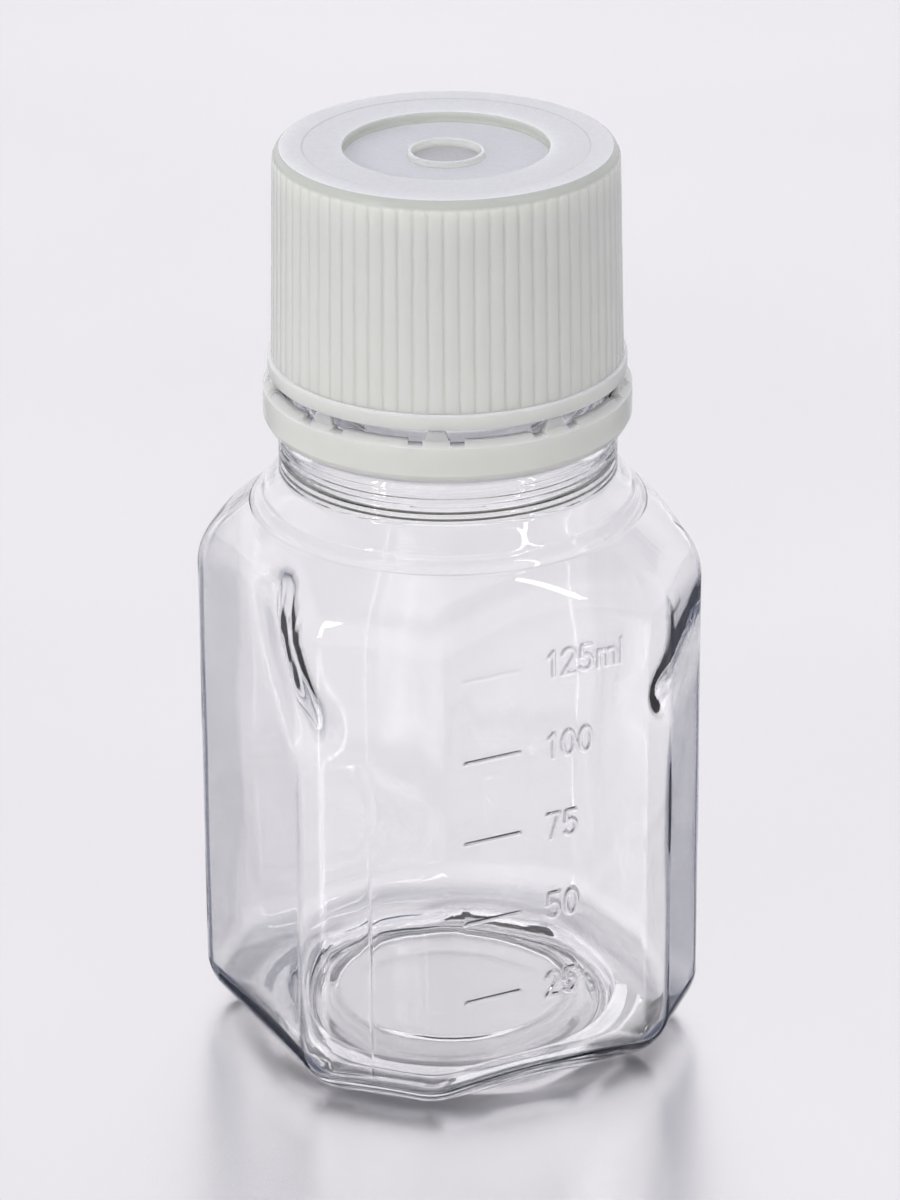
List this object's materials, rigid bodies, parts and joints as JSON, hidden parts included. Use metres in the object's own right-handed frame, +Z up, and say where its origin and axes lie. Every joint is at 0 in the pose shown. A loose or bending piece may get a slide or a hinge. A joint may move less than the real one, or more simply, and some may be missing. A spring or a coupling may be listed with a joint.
{
  "type": "octagonal laboratory bottle",
  "caption": "Clear octagonal blow-moulded laboratory bottle with raised volume graduations, a ribbed screw cap and a tamper-evident band on the neck.",
  "frame": {"origin": "centre of the base, on the surface that the bottle stands on", "axes": "+Z up along the neck; the wide faces look along X and Y; the graduated face looks along -Y"},
  "size_m": [0.053, 0.0533, 0.1116],
  "materials": {
    "clear_pet": "clear, glossy blow-moulded PET",
    "natural_hdpe": "natural translucent HDPE, satin, injection moulded"
  },
  "bodies": {
    "bottle": {"bottle": "clear_pet"},
    "band": {"tamper_band": "natural_hdpe"},
    "cap": {"screw_cap": "natural_hdpe"}
  },
  "joints": [
    {"name": "cap_turn", "type": "hinge", "parent": "bottle", "child": "band", "pos_m": [0, 0, 0.08], "axis": [0, 0, 1], "range_deg": [0, 2160]},
    {"name": "cap_lift", "type": "slide", "parent": "band", "child": "cap", "axis": [0, 0, 1], "range_m": [0, 0.0253]}
  ],
  "couplings": [
    {"joint": "cap_lift", "follows": "cap_turn", "m_per_rad": 0.00066845}
  ]
}
